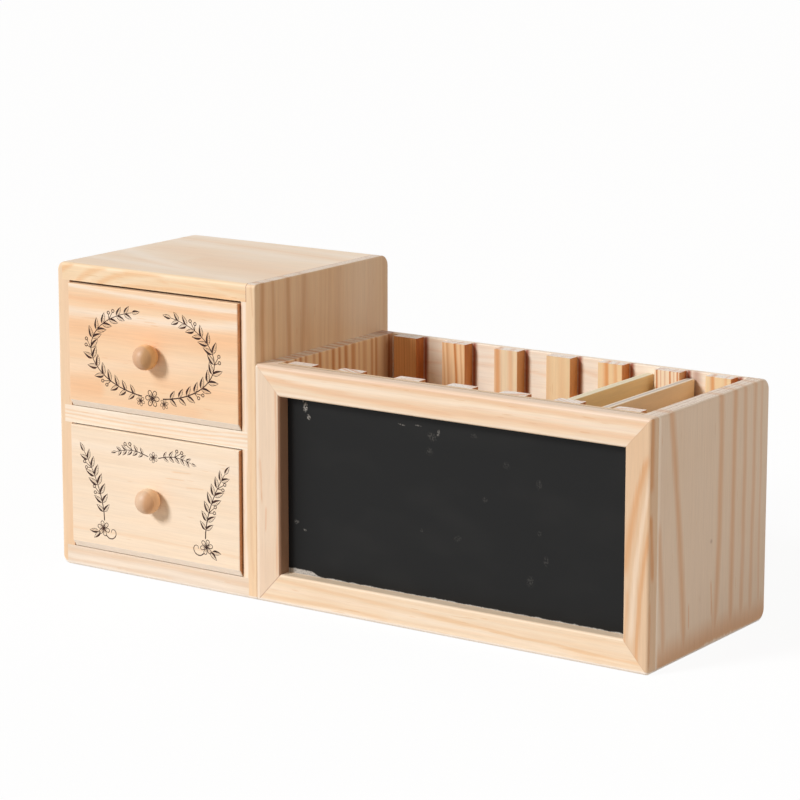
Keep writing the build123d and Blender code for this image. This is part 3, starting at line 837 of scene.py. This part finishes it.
def pick(*pieces):
    """Selects these pieces and no others, and makes the first of them active."""
    bpy.ops.object.select_all(action="DESELECT")
    for piece in pieces:
        piece.select_set(True)
    if pieces:
        bpy.context.view_layer.objects.active = pieces[0]


def place_knots(spline, points):
    """Gives a curve one knot for each point (across, up, kind of handle), in millimetres."""
    spline.bezier_points.add(len(points) - len(spline.bezier_points))
    for knot, (across, up, handle) in zip(spline.bezier_points, points):
        knot.co = (across * MM, up * MM, 0)
        knot.handle_left_type = handle
        knot.handle_right_type = handle
    return spline.bezier_points


def draw_line(points, half_widths, closed=False):
    """A pen line through points, which swells and thins as the half widths say, as a mesh."""
    pick()
    bpy.ops.curve.primitive_bezier_curve_add(radius=1, enter_editmode=False, location=(0, 0, 0))
    line = bpy.context.object
    line.data.dimensions = "3D"
    spline = line.data.splines[0]
    knots = place_knots(spline, [(across, up, "AUTO") for across, up in points])
    for knot, half_width in zip(knots, half_widths):
        knot.radius = half_width
    spline.use_cyclic_u = closed
    line.data.resolution_u = 8
    line.data.bevel_depth = MM
    line.data.bevel_resolution = 1
    bpy.ops.object.convert(target="MESH")
    return bpy.context.object


def draw_half_leaf(points):
    """One half of a leaf, filled between its curved rim and its straight midrib, as a mesh."""
    pick()
    bpy.ops.curve.primitive_bezier_circle_add(radius=1, enter_editmode=False, location=(0, 0, 0))
    half = bpy.context.object
    half.data.dimensions = "2D"
    half.data.fill_mode = "BOTH"
    half.data.extrude = INK_THICKNESS / 2 * MM
    half.data.resolution_u = 6
    place_knots(half.data.splines[0], points)
    bpy.ops.object.convert(target="MESH")
    return bpy.context.object


def join(pieces, name):
    """Joins pieces into the first of them."""
    pick(*pieces)
    bpy.ops.object.join()
    whole = bpy.context.object
    whole.name = name
    return whole


def stamp(pattern, place, turn, size):
    """Copies a drawn pattern to a place, turned by an angle in radians and scaled."""
    pick(pattern)
    bpy.ops.object.duplicate(linked=False)
    copy = bpy.context.object
    copy.scale = (size, size, 1)
    copy.rotation_euler = (0, 0, turn)
    copy.location = (place[0] * MM, place[1] * MM, 0)
    return copy


# One leaf, 7 mm long: dark above its open midrib, and only hatched below it
dark_half = draw_half_leaf([
    (0.2, 0.1, "VECTOR"), (1.8, 1.3, "AUTO"), (4.2, 1.2, "AUTO"), (7.0, 0.0, "VECTOR"),
    (3.6, 0.2, "VECTOR")])
rim = draw_line([(0.1, 0.0), (1.8, -1.15), (4.2, -1.15), (7.0, 0.0)], [0.12, 0.15, 0.15, 0.11])
hatching = [draw_line([(start, -0.25), (start + 0.7, -0.95)], [0.1, 0.08])
            for start in (1.3, 2.3, 3.3, 4.3)]
leaf = join([dark_half, rim, *hatching], "leaf_pattern")
berry = draw_line([(0.75, 0), (0, 0.75), (-0.75, 0), (0, -0.75)], [0.22] * 4, closed=True)
berry.name = "berry_pattern"

# A daisy, 8 mm across, with six open petals round a dark middle
petal_rim = [(1.1, 0), (2.3, 0.95), (3.6, 0.85), (4.1, 0), (3.6, -0.85), (2.3, -0.95)]
petal = join([
    draw_line(petal_rim, [0.20] * 6, closed=True),
    draw_line([(1.4, 0.0), (2.8, 0.1)], [0.14, 0.08])], "petal_pattern")
petals = [stamp(petal, (0, 0), math.radians(60 * number), 1.0) for number in range(6)]
middle = draw_line([(0.5, 0), (0, 0.5), (-0.5, 0), (0, -0.5)], [0.45] * 4, closed=True)
daisy = join([*petals, middle], "daisy_pattern")
for pattern in (leaf, berry, daisy):
    print(pattern.name, "faces:", len(pattern.data.polygons))


# %% Twigs with leaves
def evenly(path, count):
    """Places at equal steps along a path that runs from 0 to 1, each with the path's direction there."""
    fine = [path(number / 200) for number in range(201)]
    lengths = [0.0]
    for before, after in zip(fine, fine[1:]):
        lengths.append(lengths[-1] + math.dist(before, after))
    places = []
    for step in range(count):
        wanted = lengths[-1] * step / (count - 1)
        nearest = min(range(1, 200), key=lambda number: abs(lengths[number] - wanted))
        before, after = fine[nearest - 1], fine[nearest + 1]
        places.append((fine[nearest], math.atan2(after[1] - before[1], after[0] - before[0])))
    return places


def beside(place, angle, distance):
    """A place at a distance from another, in the direction of an angle."""
    return place[0] + distance * math.cos(angle), place[1] + distance * math.sin(angle)


def twig(path, outer, count, half_width, leaf_size, berries=()):
    """A stem with leaves in pairs; in some places two berries stand instead of the outer leaf."""
    places = evenly(path, count + 1)
    knots = [place for place, angle in places]
    drawn = [draw_line(knots, [half_width * (1.2 - 0.6 * number / count) for number in range(count + 1)])]
    for number, (place, angle) in enumerate(places[1:-1], 1):
        size = leaf_size * (0.75 + 0.25 * math.sin(math.pi * number / count))
        spread = 0.85 - 0.2 * number / count
        drawn.append(stamp(leaf, place, angle + outer * spread, size))
        if number not in berries:
            drawn.append(stamp(leaf, place, angle - outer * spread, size))
            continue
        for turn, reach in ((1.15, 2.6), (0.55, 4.4)):
            tip = beside(place, angle - outer * turn, reach)
            drawn.append(draw_line([place, tip], [0.20, 0.16]))
            drawn.append(stamp(berry, beside(tip, angle - outer * turn, 0.7), angle, 0.95))
    drawn.append(stamp(leaf, *places[-1], leaf_size * 0.8))
    return drawn


def wreath_branch(side):
    """Half of an oval wreath, from the daisy below the knob upwards."""
    def path(mark):
        angle = math.radians(-81 + 153 * mark)
        return side * 37.5 * math.cos(angle), 20.5 * math.sin(angle)
    small_daisy = stamp(daisy, (side * 7.2, -22.6), 0.3 * side, 0.6)
    return [small_daisy, *twig(path, side, 15, 0.26, 0.92, berries=(4, 8, 12))]


def sprig(side):
    """A sprig beside the knob, bent outwards like a blade of grass, with a daisy and a curl at its foot."""
    def path(mark):
        return side * (31.0 + 12.0 * mark ** 1.8), -15.0 + 33.0 * mark
    curl = [(30.2, -22.0), (27.4, -23.4), (24.4, -22.0), (24.2, -19.4), (26.2, -18.8), (26.9, -20.3)]
    foot = draw_line([(side * across, up) for across, up in curl], [0.28, 0.26, 0.23, 0.20, 0.16, 0.11])
    flower = stamp(daisy, (side * 31.6, -18.8), 0.25 * side, 0.9)
    low_leaves = [stamp(leaf, (side * (31.6 + reach), -20.6), turn if side > 0 else math.pi - turn, 0.8)
                  for reach, turn in ((3.2, -0.05), (2.0, -0.75))]
    return [flower, foot, *low_leaves, *twig(path, side, 8, 0.26, 0.92, berries=(3, 6))]


def flourish(side):
    """Half of a small level twig above the knob."""
    def path(mark):
        return side * (3.0 + 20.0 * mark), 20.4 + 1.8 * math.sin(math.pi * mark)
    return twig(path, -side, 6, 0.20, 0.58, berries=(3,))


upper_lines = [stamp(daisy, (0, -20.6), 0.0, 1.0), *wreath_branch(-1), *wreath_branch(1)]
lower_lines = [stamp(daisy, (0, 20.4), 0.5, 0.62), *sprig(-1), *sprig(1), *flourish(-1), *flourish(1)]
upper_print = join(upper_lines, "upper_drawer_print")
lower_print = join(lower_lines, "lower_drawer_print")
for pattern in (leaf, berry, petal, daisy):
    bpy.data.objects.remove(pattern)

# %% Ink material
ink, tree, shader = new_material("brown_ink")
_, place_mm = coordinates(tree)
worn = soft_step(tree, cloud(tree, stretch(tree, place_mm, (0.25, 1, 1)), 1.3, 3.0)[0], 0.52, 0.72)
brown = mix(tree, worn, colour(50, 23, 14), colour(84, 49, 35))
surface(tree, shader, brown, soft_step(tree, worn, 0.0, 1.0, 0.5, 0.65), specular=0.3)

# %% Stand the print up against the wood
for drawer, drawing in (("upper_drawer", upper_print), ("lower_drawer", lower_print)):
    front_low, front_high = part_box(f"{drawer}_front")
    knob_low, knob_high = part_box(f"{drawer}_knob")
    centre = ((knob_low.x + knob_high.x) / 2, front_low.y, (knob_low.z + knob_high.z) / 2)
    pick(drawing)
    bpy.ops.object.transform_apply(location=True, rotation=True, scale=True)
    drawing.scale = (1, 1, INK_THICKNESS * MM / drawing.dimensions.z)
    drawing.rotation_euler = (math.radians(90), 0, 0)
    drawing.location = (centre[0], centre[1] - INK_THICKNESS / 4 * MM, centre[2])
    bpy.ops.object.transform_apply(location=True, rotation=True, scale=True)
    drawing.data.materials.clear()
    drawing.data.materials.append(ink)
    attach(drawing, drawer)
    print(drawing.name, "mm:", [round(value / MM, 2) for value in drawing.dimensions])
    print("  faces:", len(drawing.data.polygons))

# %% [markdown]
# ## Screws
# A zinc-plated screw holds each knob from inside the drawer. Fully metallic, it would show little but its
# surroundings, so uneven tarnish keeps it from looking like a mirror.

# %% Dress the screws
steel, tree, shader = new_material("screw_steel")
shader.inputs["Metallic"].default_value = 1.0
_, place_mm = coordinates(tree)
tarnish = cloud(tree, place_mm, 0.9, 3.0)[0]
zinc = mix(tree, tarnish, colour(176, 172, 160), colour(208, 205, 196))
surface(tree, shader, zinc, soft_step(tree, tarnish, 0.3, 0.7, 0.25, 0.42), specular=0.5)
for drawer in ("upper_drawer", "lower_drawer"):
    dress(f"{drawer}_knob_screw", steel)
print("screw steel:", len(tree.nodes), "nodes")

# %% [markdown]
# ## Studio
# The organizer stands on a wide white floor under a white sky. The floor and the sky look white to the
# camera and in reflections, but light the wood at a plain level only, and a large soft lamp at the upper
# left makes the shadows. The camera's place, long lens and small shift follow from the object's corners.


# %% White for the eye, plain for the light
def white_for_the_eye(tree):
    """1 for what the camera and reflections see, 0 for light that falls on the object."""
    path = tree.nodes.new("ShaderNodeLightPath").outputs
    seen = maths(tree, "MAXIMUM", path["Is Camera Ray"], path["Is Glossy Ray"])
    return maths(tree, "MAXIMUM", seen, path["Is Transmission Ray"])


# %% Sky
FILL_LIGHT = 0.33
WARM_FILL = (1.0, 0.80, 0.62, 1)
WHITE = (1, 1, 1, 1)
world = bpy.data.worlds.new("white_studio")
bpy.context.scene.world = world
world.use_nodes = True
sky = world.node_tree.nodes["Background"]
tree = world.node_tree
seen = white_for_the_eye(tree)
feed(tree, sky.inputs["Color"], mix(tree, seen, WARM_FILL, WHITE))
feed(tree, sky.inputs["Strength"], maths(tree, "MULTIPLY_ADD", seen, 1 - FILL_LIGHT, FILL_LIGHT))

# %% Floor
WARM_PAPER = (0.68, 0.62, 0.56, 1)
SHADOW_PAPER = (0.74, 0.78, 0.82, 1)
GLOW = 1.05
GLOW_SHARE = 0.88
FLOOR_SIZE = 24
pick()
bpy.ops.mesh.primitive_plane_add(size=FLOOR_SIZE)
floor = bpy.context.object
floor.name = "studio_floor"
paper, tree, shader = new_material("white_paper")
tree.nodes.remove(shader)
shadow_side = tree.nodes.new("ShaderNodeBsdfDiffuse")
eye = white_for_the_eye(tree)
feed(tree, shadow_side.inputs["Color"], mix(tree, eye, WARM_PAPER, SHADOW_PAPER))
bright_side = tree.nodes.new("ShaderNodeEmission")
bright_side.inputs["Color"].default_value = WHITE
bright_side.inputs["Strength"].default_value = GLOW
both = tree.nodes.new("ShaderNodeMixShader")
feed(tree, both.inputs[0], times(tree, eye, GLOW_SHARE))
feed(tree, both.inputs[1], shadow_side.outputs[0])
feed(tree, both.inputs[2], bright_side.outputs[0])
feed(tree, tree.nodes["Material Output"].inputs[0], both.outputs[0])
floor.data.materials.append(paper)

# %% Lamps
LAMP_TRAVEL = Vector((0.425, 0.745, -0.514))
LAMP_SPREAD = 15
LAMP_ENERGY = 2.35
CARD_PLACE = (1.35, 0.1, 0.85)
CARD_TRAVEL = Vector((-1, -0.08, -0.6))
CARD_ENERGY = 3.0
bpy.ops.object.light_add(type="SUN", location=-LAMP_TRAVEL)
lamp = bpy.context.object
lamp.name = "soft_lamp"
lamp.rotation_euler = LAMP_TRAVEL.to_track_quat("-Z", "Y").to_euler()
lamp.data.angle = math.radians(LAMP_SPREAD)
lamp.data.energy = LAMP_ENERGY

bpy.ops.object.light_add(type="AREA", location=CARD_PLACE)
card = bpy.context.object
card.name = "side_card"
card.rotation_euler = CARD_TRAVEL.to_track_quat("-Z", "Y").to_euler()
card.data.size = 1.0
card.data.energy = CARD_ENERGY
card.visible_camera = False
print("lamps:", lamp.name, card.name)

# %% Camera
FOCAL_PIXELS = 2966.1
SENSOR_MM = 36
PICTURE_PIXELS = 800
AXIS_ABOVE_MIDDLE_PIXELS = 80
CAMERA_YAW = 34.578
CAMERA_PITCH = -10.447
CAMERA_PLACE = (0.77211, -1.12152, 0.38125)
bpy.ops.object.camera_add(location=CAMERA_PLACE)
camera = bpy.context.object
camera.name = "studio_camera"
camera.rotation_euler = (math.radians(90 + CAMERA_PITCH), 0, math.radians(CAMERA_YAW))
camera.data.sensor_width = SENSOR_MM
camera.data.lens = FOCAL_PIXELS * SENSOR_MM / PICTURE_PIXELS
camera.data.shift_y = -AXIS_ABOVE_MIDDLE_PIXELS / PICTURE_PIXELS
camera.data.clip_end = 100
bpy.context.scene.camera = camera
bpy.context.scene.view_settings.view_transform = "Standard"
print("lens, mm:", round(camera.data.lens, 2))
